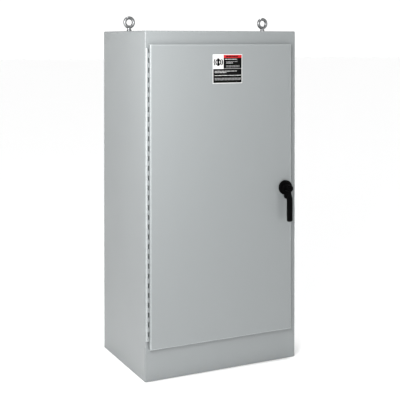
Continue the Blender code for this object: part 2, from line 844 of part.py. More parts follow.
def make_load_bus(name, x, mats):
    """A load bar: a cheek beside the blade's hub, a foot on the board and a bar down to its lug."""
    cheek = (x + 0.0140, x + 0.0200)
    bar = (x + 0.030, x + 0.054)
    half = 0.016
    load = block(name, (bar[0], BUS_Y[0], 0.645), (bar[1], BUS_Y[1], SHAFT_Z + half))
    join(load, block(
        name + "_foot",
        (cheek[0], BUS_Y[0] + 0.0005, SHAFT_Z - half + 0.001),
        (bar[0] + 0.005, BUS_Y[1] - 0.0005, SHAFT_Z + half - 0.001),
        "cutters",
    ))
    join(load, block(
        name + "_cheek",
        (cheek[0] + 0.0002, SHAFT_Y - 0.020, SHAFT_Z - half + 0.002),
        (cheek[1], BUS_Y[1] - 0.001, SHAFT_Z + half - 0.002),
        "cutters",
    ))
    cut(load, shaft_bore(name + "_bore", x + 0.017, 0.01))
    return dress(load, mats["copper"])


def make_lug(name, x, z, mats):
    """A cable lug in front of a bar, with a wire hole along Z and a clamp screw."""
    half = 0.0145
    deep = 0.036
    tall = 0.020
    y = (BUS_Y[0] - GAP - deep, BUS_Y[0] - GAP)
    hole_y = y[1] - 0.0165
    lug = block(
        name, (x - half, y[0], z - tall), (x + half, y[1], z + tall), rounded=0.002, segments=1
    )
    wire_run = ((x, hole_y, z - 0.03), (x, hole_y, z + 0.03))
    cut(lug, rounds(name + "_wire_hole", [wire_run], 0.010, 12))
    screw_run = ((x, y[0] - 0.006, z), (x, y[0] + 0.003, z))
    join(lug, rounds(name + "_screw", [screw_run], 0.008, 12))
    return dress(lug, mats["aluminium"])


def make_blade(name, x, mats):
    """A moving contact: a hub on the shaft and an arm to its tip."""
    blade = shaft_round(name, x, 0.0137, 0.021)
    join(blade, radial_block(name + "_arm", x, 0.0, 0.090, 0.0, 2 * BLADE_HALF, 0.010, "cutters"))
    cut(blade, shaft_bore(name + "_bore", x, 0.03))
    return dress(blade, mats["copper"])


def make_shaft(mats):
    ends = (-0.244, 0.300)
    shaft = shaft_round("main_shaft", sum(ends) / 2, (ends[1] - ends[0]) / 2, SHAFT_RADIUS)
    return dress(shaft, mats["steel"], True)


def lever_run(near, far):
    """A stretch of the operating lever's line at rest, which points forward and down."""
    return tuple(
        (LEVER_X, SHAFT_Y - reach * math.cos(THROW_HALF), SHAFT_Z - reach * math.sin(THROW_HALF))
        for reach in (near, far)
    )


def make_operating_lever(mats):
    lever = shaft_round("operating_lever", LEVER_X, 0.012, 0.024)
    join(lever, radial_block(
        "operating_lever_arm", LEVER_X, -0.135, 0.0, 0.0, 0.024, 0.005, "cutters"
    ))
    join(lever, rounds("operating_lever_tang", [lever_run(0.120, 0.230)], 0.0062, 12))
    cut(lever, shaft_bore("operating_lever_bore", LEVER_X, 0.03))
    grip = rounds("lever_grip", [lever_run(0.139, 0.255)], 0.015, 16, NAME)
    soften_edges(grip, 0.004)
    cut(grip, rounds("lever_grip_bore", [lever_run(0.130, 0.2306)], 0.0068, 12))
    return dress(lever, mats["steel"]), dress(grip, mats["red"], True)


def make_neutral(mats):
    x = (-0.300, -0.020)
    z = 0.420
    half = 0.015
    bar_y = (PANEL_Y[0] - 0.0366, PANEL_Y[0] - 0.0306)
    bar = block("neutral_bar", (x[0], bar_y[0], z - half), (x[1], bar_y[1], z + half))
    holes = [x[0] + 0.030 + 0.044 * k for k in range(6)]
    cut(bar, rounds("neutral_holes", [
        ((hole, bar_y[0] - 0.01, z), (hole, bar_y[1] + 0.01, z)) for hole in holes
    ], 0.005, 8))
    dress(bar, mats["copper"])
    for side, place in zip(("left", "right"), (x[0] + 0.052, x[1] - 0.052)):
        run = ((place, bar_y[1] + GAP, z), (place, PANEL_Y[0] - GAP, z))
        dress(rounds("neutral_insulator_" + side, [run], 0.013, 6, NAME), mats["red"])


def make_ground_bar(mats):
    x = (0.080, 0.320)
    z = 0.300
    y = (PANEL_Y[0] - GAP - 0.008, PANEL_Y[0] - GAP)
    bar = block("ground_bar", (x[0], y[0], z - 0.0125), (x[1], y[1], z + 0.0125))
    cut(bar, rounds("ground_holes", [
        ((x[0] + 0.020 + 0.040 * k, y[0] - 0.01, z), (x[0] + 0.020 + 0.040 * k, y[1] + 0.01, z))
        for k in range(6)
    ], 0.0045, 8))
    dress(bar, mats["aluminium"])


def make_switch(mats):
    """Makes the fixed pieces and returns the pieces that turn with the shaft."""
    bearing_x = POLE_PITCH + 0.080
    lug_reach = 0.225
    load_lug = (0.042, 0.668)
    make_panel(mats)
    make_board(mats)
    make_bearing("shaft_bearing_left", -bearing_x, mats)
    make_bearing("shaft_bearing_right", bearing_x, mats)
    make_barrier("phase_barrier_ab", -POLE_PITCH / 2, mats)
    make_barrier("phase_barrier_bc", POLE_PITCH / 2, mats)
    make_neutral(mats)
    make_ground_bar(mats)
    turning = [make_shaft(mats), *make_operating_lever(mats)]
    for phase, x in POLES:
        make_contact("normal_contact_" + phase, x, 1, mats)
        make_contact("emergency_contact_" + phase, x, -1, mats)
        make_load_bus("load_bus_" + phase, x, mats)
        make_lug("normal_lug_" + phase, x, SHAFT_Z + lug_reach, mats)
        make_lug("emergency_lug_" + phase, x, SHAFT_Z - lug_reach, mats)
        make_lug("load_lug_" + phase, x + load_lug[0], load_lug[1], mats)
        turning.append(make_blade("contact_blade_" + phase, x, mats))
    return turning


# ---------------------------------------------------------------- assembly


def main():
    clear_scene()
    mats = make_materials()
    make_cabinet(mats)
    make_lifting_eyes(mats)
    swinging = [
        make_hinge(mats),
        make_door(mats),
        make_gasket(mats),
        make_label(mats),
        make_stiffener(mats),
        make_print_pocket(mats),
        make_latch_base(mats),
        make_latch_case(mats),
        make_rod_guide("upper_rod_guide", 1, 1.500, mats),
        make_rod_guide("lower_rod_guide", -1, 0.430, mats),
    ]
    handle = [make_lever(mats), make_spindle(mats), make_pinion(mats)]
    plug = make_lock_plug(mats)
    upper = make_rod("upper_rod", 1, mats)
    lower = make_rod("lower_rod", -1, mats)
    turning = make_switch(mats)

    door_axis = joint_empty("door_axis", (HINGE_X, HINGE_Y, HINGE_Z))
    latch_axis = joint_empty("latch_axis", (LATCH_X, HUB_REAR, LATCH_Z), door_axis)
    key_axis = joint_empty("key_axis", (LATCH_X, PLUG_FRONT, LATCH_Z), latch_axis)
    upper_slide = joint_empty("upper_slide", (LATCH_X + ROD_NEAR, ROD_Y[0], LATCH_Z), door_axis)
    lower_slide = joint_empty("lower_slide", (LATCH_X - ROD_NEAR, ROD_Y[0], LATCH_Z), door_axis)
    throw_axis = joint_empty("throw_axis", (0.0, SHAFT_Y, SHAFT_Z))
    hang(door_axis, swinging)
    hang(latch_axis, handle)
    hang(key_axis, [plug])
    hang(upper_slide, upper)
    hang(lower_slide, lower)
    hang(throw_axis, turning)


main()
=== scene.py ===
"""Looks of the manual transfer switch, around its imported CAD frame.

Metres and degrees, +Z up, front at -Y.
"""

import json
import math

import bmesh
import bpy
from mathutils import Matrix, Vector


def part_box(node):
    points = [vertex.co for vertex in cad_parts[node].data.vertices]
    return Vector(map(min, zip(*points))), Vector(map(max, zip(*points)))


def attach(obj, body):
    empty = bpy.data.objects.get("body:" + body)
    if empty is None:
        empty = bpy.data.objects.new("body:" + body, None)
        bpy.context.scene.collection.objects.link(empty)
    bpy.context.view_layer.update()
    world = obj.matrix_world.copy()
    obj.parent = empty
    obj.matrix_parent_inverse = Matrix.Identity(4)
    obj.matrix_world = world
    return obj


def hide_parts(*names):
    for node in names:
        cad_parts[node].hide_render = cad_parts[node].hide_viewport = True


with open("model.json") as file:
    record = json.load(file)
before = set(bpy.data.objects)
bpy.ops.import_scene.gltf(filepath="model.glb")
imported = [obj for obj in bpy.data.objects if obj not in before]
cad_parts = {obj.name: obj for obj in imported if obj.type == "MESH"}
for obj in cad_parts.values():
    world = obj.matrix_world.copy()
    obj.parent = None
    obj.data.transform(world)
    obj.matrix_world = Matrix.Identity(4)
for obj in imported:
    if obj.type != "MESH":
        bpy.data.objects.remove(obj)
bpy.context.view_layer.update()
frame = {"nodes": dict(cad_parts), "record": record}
NODES = frame["nodes"]
BEHAVIOUR = frame["record"]["behaviour"]
NODE_BODY = {node: body for body, members in BEHAVIOUR["bodies"].items() for node in members}
NODE_SLOT = {entry["node"]: entry["material_slot"] for entry in frame["record"]["subparts"]}

JOINT_AT = {
    joint["name"]: Vector(joint["pos_m"]) for joint in BEHAVIOUR["joints"] if "pos_m" in joint
}
LATCH = JOINT_AT["latch_handle_turn"]
SHAFT = JOINT_AT["transfer_throw"]
POLES = "abc"
FRONTWARD = (0, -1, 0)
BACKWARD = (0, 1, 0)
UPWARD = (0, 0, 1)
OFF_FACE = 0.0003  # keeps a piece off the face that it stands on


# ---------------------------------------------------------------- materials


# The middle of a noise's range, which is spread over all of the result: a soft and a firm change.
SOFT = (0.3, 0.7)
FIRM = (0.35, 0.65)


def tint(colour, factor):
    """A colour made lighter or darker."""
    return tuple(min(1.0, factor * c) for c in colour)


class Finish:
    """A Principled material with a few short ways to drive it from textures in object space."""

    def __init__(self, name, colour, roughness, metallic=0.0):
        self.made = bpy.data.materials.new(name)
        self.made.use_nodes = True
        self.nodes = self.made.node_tree.nodes
        self.links = self.made.node_tree.links
        self.shader = self.nodes["Principled BSDF"]
        self.shader.inputs["Base Color"].default_value = (*colour, 1.0)
        self.shader.inputs["Roughness"].default_value = roughness
        self.shader.inputs["Metallic"].default_value = metallic
        self.made.diffuse_color = (*colour, 1.0)
        self.place = self.nodes.new("ShaderNodeTexCoord").outputs["Object"]

    def stretched(self, scale):
        """Object space, drawn together along each axis by its scale."""
        mapping = self.nodes.new("ShaderNodeMapping")
        mapping.inputs["Scale"].default_value = scale
        self.links.new(self.place, mapping.inputs["Vector"])
        return mapping.outputs["Vector"]

    def noise(self, scale, detail=2.0, stretch=(1, 1, 1)):
        made = self.nodes.new("ShaderNodeTexNoise")
        made.inputs["Scale"].default_value = scale
        made.inputs["Detail"].default_value = detail
        self.links.new(self.stretched(stretch), made.inputs["Vector"])
        return made.outputs["Fac"]

    def cells(self, scale):
        """A flat random colour for each small crystal."""
        made = self.nodes.new("ShaderNodeTexVoronoi")
        made.inputs["Scale"].default_value = scale
        self.links.new(self.place, made.inputs["Vector"])
        return made.outputs["Color"]

    def levels(self, value, low, high, to_low=0.0, to_high=1.0):
        """Maps low..high of a value to to_low..to_high, and holds it there beyond."""
        made = self.nodes.new("ShaderNodeMapRange")
        made.inputs["From Min"].default_value = low
        made.inputs["From Max"].default_value = high
        made.inputs["To Min"].default_value = to_low
        made.inputs["To Max"].default_value = to_high
        self.links.new(value, made.inputs["Value"])
        return made.outputs["Result"]

    def blend(self, factor, first, second):
        """A colour between two, each a colour or a socket."""
        made = self.nodes.new("ShaderNodeMix")
        made.data_type = "RGBA"
        self.links.new(factor, made.inputs["Factor"])
        for name, value in (("A", first), ("B", second)):
            socket = [s for s in made.inputs if s.name == name and s.type == "RGBA"][0]
            if isinstance(value, tuple):
                socket.default_value = (*value, 1.0)
            else:
                self.links.new(value, socket)
        return [s for s in made.outputs if s.type == "RGBA"][0]

    def colour(self, socket):
        self.links.new(socket, self.shader.inputs["Base Color"])

    def roughness(self, socket):
        self.links.new(socket, self.shader.inputs["Roughness"])

    def bump(self, *layers):
        """Each layer is (height socket, depth in metres)."""
        normal = None
        for height, depth in layers:
            made = self.nodes.new("ShaderNodeBump")
            made.inputs["Strength"].default_value = 1.0
            made.inputs["Distance"].default_value = depth
            self.links.new(height, made.inputs["Height"])
            if normal:
                self.links.new(normal, made.inputs["Normal"])
            normal = made.outputs["Normal"]
        self.links.new(normal, self.shader.inputs["Normal"])


def powder_paint(name, colour, roughness=0.32):
    """Powder coat: nearly even, with a faint speckle in clouds and a shallow ripple."""
    coat = Finish(name, colour, roughness)
    cloud = coat.levels(coat.noise(2.2, 3.0), *SOFT)
    speckle = coat.levels(coat.noise(1400.0, 1.0), *FIRM)
    speckled = coat.blend(speckle, tint(colour, 0.97), tint(colour, 1.02))
    coat.colour(coat.blend(cloud, speckled, colour))
    gloss = coat.noise(3.0, 1.0)
    coat.roughness(coat.levels(gloss, *SOFT, roughness - 0.02, roughness + 0.03))
    coat.bump((coat.noise(260.0, 1.0), 0.000012))
    return coat.made


def black_casting(name):
    """Matt black powder coat on a zinc casting, finely pebbled and a little dusty."""
    coat = Finish(name, (0.001, 0.001, 0.001), 0.42)
    coat.shader.inputs["Specular IOR Level"].default_value = 0.03
    dust = coat.levels(coat.noise(35.0, 5.0), 0.45, 0.75)
    coat.colour(coat.blend(dust, (0.0008, 0.0008, 0.0009), (0.002, 0.002, 0.0022)))
    coat.roughness(coat.levels(coat.noise(60.0, 4.0), *SOFT, 0.36, 0.52))
    coat.bump((coat.noise(900.0, 2.0), 0.00007), (coat.noise(240.0, 2.0), 0.00006))
    return coat.made


def moulded_plastic(name, colour, roughness=0.5):
    """Plastic with faint flow marks and a fine texture from its mould."""
    moulding = Finish(name, colour, roughness)
    flow = moulding.levels(moulding.noise(40.0, 4.0), *FIRM)
    moulding.colour(moulding.blend(flow, tint(colour, 0.85), tint(colour, 1.12)))
    gloss = moulding.noise(120.0, 3.0)
    moulding.roughness(moulding.levels(gloss, *SOFT, roughness - 0.08, roughness + 0.08))
    moulding.bump((moulding.noise(1100.0, 2.0), 0.00004))
    return moulding.made


def zinc_plate(name, colour, roughness=0.34):
    """Bright zinc: small crystals that catch the light differently, and dull spots."""
    plate = Finish(name, colour, roughness, 0.92)
    crystal = plate.cells(260.0)
    spots = plate.levels(plate.noise(90.0, 5.0), 0.5, 0.75)
    crystals = plate.blend(crystal, tint(colour, 0.82), tint(colour, 1.15))
    plate.colour(plate.blend(spots, crystals, tint(colour, 0.7)))
    gloss = plate.noise(200.0, 4.0)
    plate.roughness(plate.levels(gloss, *SOFT, roughness - 0.08, roughness + 0.14))
    plate.bump((plate.noise(500.0, 3.0), 0.00005))
    return plate.made


def brushed_metal(name, colour, roughness=0.3, along=(1, 1, 30)):
    """Metal with a fine grain that runs across the axis with the large stretch."""
    metal = Finish(name, colour, roughness, 1.0)
    grain = metal.noise(60.0, 6.0, along)
    stain = metal.levels(metal.noise(14.0, 4.0), 0.45, 0.7)
    streaks = metal.blend(metal.levels(grain, *SOFT), tint(colour, 0.85), tint(colour, 1.08))
    metal.colour(metal.blend(stain, streaks, tint(colour, 0.75)))
    metal.roughness(metal.levels(grain, *SOFT, roughness - 0.08, roughness + 0.1))
    metal.bump((grain, 0.00003))
    return metal.made


def foam_rubber(name):
    """Black closed-cell foam with a coarse open skin."""
    foam = Finish(name, (0.018, 0.018, 0.018), 0.9)
    mottle = foam.levels(foam.noise(80.0, 4.0), *FIRM)
    foam.colour(foam.blend(mottle, (0.012,) * 3, (0.03,) * 3))
    foam.bump((foam.noise(1300.0, 2.0), 0.0002))
    return foam.made


def fibre_board(name):
    """Red glass-polyester laminate: short pale fibres in a glossy resin."""
    board = Finish(name, (0.30, 0.055, 0.035), 0.4)
    fibres = board.levels(board.noise(90.0, 6.0, (1, 1, 6)), 0.52, 0.62)
    crossing = board.levels(board.noise(90.0, 6.0, (6, 1, 1)), 0.54, 0.64)
    one_way = board.blend(fibres, (0.27, 0.045, 0.03), (0.38, 0.10, 0.07))
    board.colour(board.blend(crossing, one_way, (0.36, 0.09, 0.06)))
    board.bump((board.noise(160.0, 5.0), 0.00008))
    return board.made


def printed_film(name, colour, roughness=0.35, specular=0.5):
    """Ink on a plastic film: a very fine dot and a soft unevenness in the gloss."""
    film = Finish(name, colour, roughness)
    film.shader.inputs["Specular IOR Level"].default_value = specular
    dots = film.levels(film.noise(2500.0, 1.0), *SOFT)
    film.colour(film.blend(dots, tint(colour, 0.93), colour))
    gloss = film.noise(50.0, 3.0)
    film.roughness(film.levels(gloss, *SOFT, roughness - 0.05, roughness + 0.07))
    film.bump((film.noise(700.0, 2.0), 0.00001))
    return film.made


GREY = (0.234, 0.249, 0.252)
MATERIALS = {
    "grey_paint": powder_paint("grey_powder_paint", GREY),
    "panel_white": powder_paint("white_panel_paint", (0.78, 0.78, 0.76), 0.35),
    "zinc_plate": zinc_plate("zinc_plate", (0.27, 0.275, 0.28)),
    "black_casting": black_casting("black_casting"),
    "black_nylon": moulded_plastic("black_nylon", (0.022, 0.022, 0.023)),
    "gasket_rubber": foam_rubber("foam_gasket"),
    "bright_steel": brushed_metal("bright_steel", (0.56, 0.57, 0.58)),
    "copper_bus": brushed_metal("copper_bus", (0.80, 0.40, 0.26), 0.28),
    "aluminium_lug": brushed_metal("tinned_aluminium", (0.74, 0.75, 0.76), 0.36, (30, 1, 1)),
    "insulating_board": fibre_board("fibre_board"),
    "red_insulator": moulded_plastic("red_moulding", (0.42, 0.025, 0.018), 0.38),
    "label_face": printed_film("label_white", (0.82, 0.82, 0.81)),
}
# Painted highlight: a paler copy of the grey paint on the upright bends of the door and on the
# hinge's leaves and knuckles, standing in for the light they catch.
BEND_HIGHLIGHT_PAINT = powder_paint("grey_paint_with_painted_bend_highlight", tint(GREY, 1.5), 0.28)
# Painted highlight: a slightly paler copy of the grey paint on the cabinet's upright corner bends.
CORNER_HIGHLIGHT_PAINT = powder_paint("grey_paint_with_painted_corner_highlight", tint(GREY, 1.04), 0.28)
# Painted shade: a much darker copy of the grey paint on the front of the hinge's body leaf,
# standing in for the shade seen down the hinge's slots.
SLOT_SHADE_PAINT = powder_paint("grey_paint_with_painted_slot_shade", tint(GREY, 0.22), 0.5)
INK = {
    "white": MATERIALS["label_face"],
    "black": printed_film("label_black", (0.002, 0.002, 0.002), 0.4, 0.08),
    "red": printed_film("label_red", (0.45, 0.010, 0.014), 0.4, 0.2),
    "grey": printed_film("label_grey", (0.30, 0.30, 0.30)),
}


# ---------------------------------------------------------------- making pieces


def add_piece(name, bm, body, slot, smooth_angle=35, materials=None):
    """Makes a piece from a bmesh drawn in the row frame and lets it ride on a body."""
    mesh = bpy.data.meshes.new(name)
    bmesh.ops.recalc_face_normals(bm, faces=bm.faces)
    bm.to_mesh(mesh)
    bm.free()
    piece = bpy.data.objects.new(name, mesh)
    bpy.context.scene.collection.objects.link(piece)
    mesh.shade_smooth()
    mesh.set_sharp_from_angle(angle=math.radians(smooth_angle))
    for material in materials or [MATERIALS[slot]]:
        mesh.materials.append(material)
    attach(piece, body)
    return piece


def soften(piece, width):
    """Rounds the sharp edges and evens the shading of the flats beside them."""
    bevel = piece.modifiers.new("edges", "BEVEL")
    bevel.width = width
    bevel.segments = 2
    bevel.limit_method = "ANGLE"
    bevel.angle_limit = math.radians(40)
    bevel.use_clamp_overlap = True
    bevel.harden_normals = True
    even = piece.modifiers.new("even_normals", "WEIGHTED_NORMAL")
    even.keep_sharp = True


# These nodes get painted highlights on their upright bends; the hinge's body leaf also gets painted
# shade on its front.
BENT_SHEET = ("enclosure_body", "door", "hinge_leaf_body", "hinge_leaf_door")
ALONG_AXIS = 0.995  # largest part of a unit normal, from which a face lies along an axis
UPRIGHT_BEND = 0.5  # vertical part of a unit normal, up to which a bend runs upright
SMALLEST_BEND = 1e-5  # square metres; smaller slanted faces belong to holes
MERGE_WITHIN = 1e-5
FLAT_WITHIN = math.radians(0.2)


def paint_bend_highlights_and_slot_shade(bm, painted_shade_on_front):
    """Painted highlight: paler paint on upright bends and knuckles; painted shade: darker paint on
    a front down in a slot.
    """
    for face in bm.faces:
        slanted = max(abs(c) for c in face.normal) < ALONG_AXIS
        upright = abs(face.normal.z) < UPRIGHT_BEND
        if slanted and upright and face.calc_area() > SMALLEST_BEND:
            # painted highlight on a bend
            face.material_index = 1
        elif painted_shade_on_front and face.normal.y < -ALONG_AXIS:
            # painted shade on a front seen down a slot
            face.material_index = 2


def refined(node, width):
    """A copy of a CAD solid with merged faces, rounded edges and its finish, in its place."""
    bm = bmesh.new()
    bm.from_mesh(NODES[node].data)
    bmesh.ops.remove_doubles(bm, verts=bm.verts, dist=MERGE_WITHIN)
    bmesh.ops.dissolve_limit(bm, angle_limit=FLAT_WITHIN, verts=bm.verts, edges=bm.edges)
    materials = None
    # Bent sheet gets lighter and darker copies of its paint: painted highlights on bends and
    # corners, and painted shade in the hinge's slots.
    if node in BENT_SHEET:
        bend = CORNER_HIGHLIGHT_PAINT if node == "enclosure_body" else BEND_HIGHLIGHT_PAINT
        materials = [MATERIALS["grey_paint"], bend, SLOT_SHADE_PAINT]
        paint_bend_highlights_and_slot_shade(bm, node == "hinge_leaf_body")
    piece = add_piece(node + "_finish", bm, NODE_BODY[node], NODE_SLOT[node], materials=materials)
    soften(piece, width)
    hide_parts(node)


def skin(bm, rings):
    """Joins closed rings of vertices in order and caps both ends."""
    for first, second in zip(rings, rings[1:]):
        for k in range(len(first)):
            after = (k + 1) % len(first)
            bm.faces.new((first[k], first[after], second[after], second[k]))
    bm.faces.new(rings[0][::-1])
    bm.faces.new(rings[-1])


def lathe(bm, at, direction, profile, sides):
    """Turns (distance along the axis, radius) points about an axis through at."""
    turn = Vector(direction).to_track_quat("Z", "Y").to_matrix()
    rings = []
    for along, radius in profile:
        ring = []
        for k in range(sides):
            angle = 2 * math.pi * k / sides
            spoke = Vector((radius * math.cos(angle), radius * math.sin(angle), along))
            ring.append(bm.verts.new(Vector(at) + turn @ spoke))
        rings.append(ring)
    skin(bm, rings)


def soft_ring(bm, centre, half_x, half_y, power, steps=28):
    """A level ring between an ellipse (power 2) and a rectangle (a high power)."""
    ring = []
    for k in range(steps):
        angle = 2 * math.pi * k / steps
        across = math.copysign(abs(math.cos(angle)) ** (2 / power), math.cos(angle))
        along = math.copysign(abs(math.sin(angle)) ** (2 / power), math.sin(angle))
        ring.append(bm.verts.new(Vector(centre) + Vector((half_x * across, half_y * along, 0.0))))
    return ring


def draw_block(bm, low, high):
    """A block between two corners; returns its vertices."""
    low, high = Vector(low), Vector(high)
    matrix = Matrix.Translation((low + high) / 2) @ Matrix.Diagonal((*(high - low), 1.0))
    return bmesh.ops.create_cube(bm, size=1.0, matrix=matrix)["verts"]


def draw_ring(bm, centre, major, minor, around=48, section=16):
    """A torus that stands upright and faces the front."""
    bands = []
    for k in range(around):
        angle = 2 * math.pi * k / around
        out = Vector((math.cos(angle), 0.0, math.sin(angle)))
        band = []
        for j in range(section):
            lean = 2 * math.pi * j / section
            sideways = Vector((0.0, minor * math.sin(lean), 0.0))
            point = out * (major + minor * math.cos(lean)) + sideways
            band.append(bm.verts.new(Vector(centre) + point))
        bands.append(band)
    for k in range(around):
        first, second = bands[k], bands[(k + 1) % around]
        for j in range(section):
            after = (j + 1) % section
            bm.faces.new((first[j], first[after], second[after], second[j]))


# Profiles of a bolt: (distance along the axis, radius), in units of half its thread's diameter.
WASHER_THICK = 0.32
WASHER = ((0.0, 2.0), (0.28, 2.0), (WASHER_THICK, 1.95))
HEX_HEAD = ((0.0, 1.7), (1.1, 1.7), (1.3, 1.4))
STUD_END = ((0.5, 1.0), (2.4, 1.0), (2.6, 0.8))


def scaled(profile, size):
    """A profile in metres from one in units of size."""
    return [(along * size, radius * size) for along, radius in profile]


def draw_bolt(bm, at, direction, size):
    """A hex head on a washer, standing on a face.  size is half the thread's diameter."""
    lathe(bm, at, direction, scaled(WASHER, size), 24)
    head = Vector(at) + Vector(direction) * WASHER_THICK * size
    lathe(bm, head, direction, scaled(HEX_HEAD, size), 6)


def draw_nut(bm, at, direction, size):
    """A bolt head with the stud's end standing out of it."""
    draw_bolt(bm, at, direction, size)
    lathe(bm, at, direction, scaled(STUD_END, size), 20)


def draw_socket_screw(bm, at, direction, radius):
    """A low round head with a hexagonal socket that goes down below the face."""
    rise, socket, sides = 0.0012, 0.5 * radius, 24
    turn = Vector(direction).to_track_quat("Z", "Y").to_matrix()
    rings = []
    for along, size, hexagon in (
        (0.0, radius, False),
        (0.7 * rise, radius, False),
        (rise, 0.9 * radius, False),
        (rise, socket, True),
        (-1.2 * rise, socket, True),
    ):
        ring = []
        for k in range(sides):
            angle = 2 * math.pi * k / sides
            off_flat = (angle + math.pi / 6) % (math.pi / 3) - math.pi / 6
            reach = size / math.cos(off_flat) if hexagon else size
            spoke = Vector((reach * math.cos(angle), reach * math.sin(angle), along))
            ring.append(bm.verts.new(Vector(at) + turn @ spoke))
        rings.append(ring)
    skin(bm, rings)


def fasteners(name, body, slot, draw, places, direction, size):
    """Several fasteners of one kind as one piece."""
    bm = bmesh.new()
    for at in places:
        draw(bm, at, direction, size)
    add_piece(name, bm, body, slot, smooth_angle=30)


def fused(name, bm, body, slot, voxel, passes=4):
    """A casting or forging: what is drawn becomes one skin with soft fillets between its shapes.

    voxel is the size in metres that the skin is drawn at, and more passes make wider fillets.
    """
    piece = add_piece(name, bm, body, slot)
    one_skin = piece.modifiers.new("one_skin", "REMESH")
    one_skin.mode = "VOXEL"
    one_skin.voxel_size = voxel
    fillets = piece.modifiers.new("fillets", "SMOOTH")
    fillets.factor = 0.5
    fillets.iterations = passes
    lighter = piece.modifiers.new("lighter", "DECIMATE")
    lighter.ratio = 0.5
    bpy.context.view_layer.update()
    evaluated = piece.evaluated_get(bpy.context.evaluated_depsgraph_get())
    mesh = bpy.data.meshes.new_from_object(evaluated)
    piece.modifiers.clear()
    piece.data = mesh
    mesh.shade_smooth()
    return piece


# ---------------------------------------------------------------- stage, light and camera


FLOOR_SIZE = 160.0  # wide enough for its edge to lie at the horizon
FLOOR_DROP = 0.0004  # keeps it off the underside of the cabinet

# The studio's white surroundings: a base everywhere, and lobes that are added to it, each with
# its direction, its strength, and the cosines at which it starts and is full.
AROUND = 0.17
LOBES = (
    ((0.0, 0.0, -1.0), 0.91, -0.22, -0.08),
    ((0.30, -1.0, 0.0), 0.36, 0.2, 0.9),
)


def set_stage():
    bpy.ops.mesh.primitive_plane_add(size=FLOOR_SIZE, location=(0.0, 0.0, -FLOOR_DROP))
    floor = bpy.context.object
    floor.name = "studio_floor"
    pale = Finish("pale_floor", (0.975, 0.975, 0.975), 0.8)
    pale.colour(pale.blend(pale.noise(0.6, 2.0), (0.972, 0.972, 0.972), (0.978, 0.978, 0.978)))
    floor.data.materials.append(pale.made)
    set_world()
    bpy.context.scene.view_settings.view_transform = "Standard"


def set_world():
    """A pale studio: white from just over the horizon down, brighter behind the photographer."""
    world = bpy.data.worlds.new("studio_world")
    world.use_nodes = True
    nodes, links = world.node_tree.nodes, world.node_tree.links
    direction = nodes.new("ShaderNodeTexCoord").outputs["Generated"]
    total = None
    for towards, strength, starts, full in LOBES:
        facing = nodes.new("ShaderNodeVectorMath")
        facing.operation = "DOT_PRODUCT"
        facing.inputs[1].default_value = Vector(towards).normalized()
        links.new(direction, facing.inputs[0])
        level = nodes.new("ShaderNodeMapRange")
        level.interpolation_type = "SMOOTHSTEP"
        level.inputs["From Min"].default_value = starts
        level.inputs["From Max"].default_value = full
        level.inputs["To Max"].default_value = strength
        links.new(facing.outputs["Value"], level.inputs["Value"])
        add = nodes.new("ShaderNodeMath")
        add.inputs[1].default_value = AROUND
        links.new(level.outputs["Result"], add.inputs[0])
        if total:
            links.new(total, add.inputs[1])
        total = add.outputs["Value"]
    background = nodes["Background"]
    background.inputs["Color"].default_value = (1.0, 1.0, 1.0, 1.0)
    links.new(total, background.inputs["Strength"])
    bpy.context.scene.world = world


def add_lamp(name, kind, at, towards, energy):
    """Hangs a lamp at a place, turned towards another, and returns its light."""
    light = bpy.data.lights.new(name, kind)
    light.energy = energy
    lamp = bpy.data.objects.new(name, light)
    lamp.location = at
    lamp.rotation_euler = (Vector(towards) - Vector(at)).to_track_quat("-Z", "Y").to_euler()
    bpy.context.scene.collection.objects.link(lamp)
    return light


def add_softbox(name, at, towards, energy, wide, tall):
    """A rectangular lamp of a width and a height."""
    light = add_lamp(name, "AREA", at, towards, energy)
    light.shape = "RECTANGLE"
    light.size, light.size_y = wide, tall


def add_lights():
    """A tall softbox near the front left corner, a large one farther off, and one sun overhead."""
    add_softbox("near_softbox", (-1.20, -0.95, 1.80), (-0.35, -0.15, 1.50), 17.0, 0.4, 1.8)
    add_softbox("far_softbox", (-2.20, -2.60, 2.50), (-0.20, -0.15, 1.10), 84.0, 1.0, 1.5)
    overhead = add_lamp("overhead", "SUN", (0.0, 0.0, 4.0), (0.0, 0.0, 0.0), 2.52)
    overhead.angle = math.radians(12)


# The camera as fitted to the photo's edges.  The uprights are parallel there, so it looks almost
# level and the picture is shifted down instead.
CAMERA_AT = (-2.2869, -4.5743, 1.7751)
CAMERA_TURN = -25.54
CAMERA_DIP = 0.752
CAMERA_SHIFT = (0.0369, -0.368)
FOCAL_LENGTH, SENSOR_WIDTH = 81.46, 36.0  # millimetres


def add_camera():
    """Stands where the photographer stood, about level with the top of the cabinet."""
    data = bpy.data.cameras.new("camera")
    data.sensor_width = SENSOR_WIDTH
    data.lens = FOCAL_LENGTH
    data.shift_x, data.shift_y = CAMERA_SHIFT
    data.clip_end = 100.0
    camera = bpy.data.objects.new("camera", data)
    camera.location = CAMERA_AT
    camera.rotation_euler = (math.radians(90 - CAMERA_DIP), 0.0, math.radians(CAMERA_TURN))
    bpy.context.scene.collection.objects.link(camera)
    bpy.context.scene.camera = camera


# ---------------------------------------------------------------- label


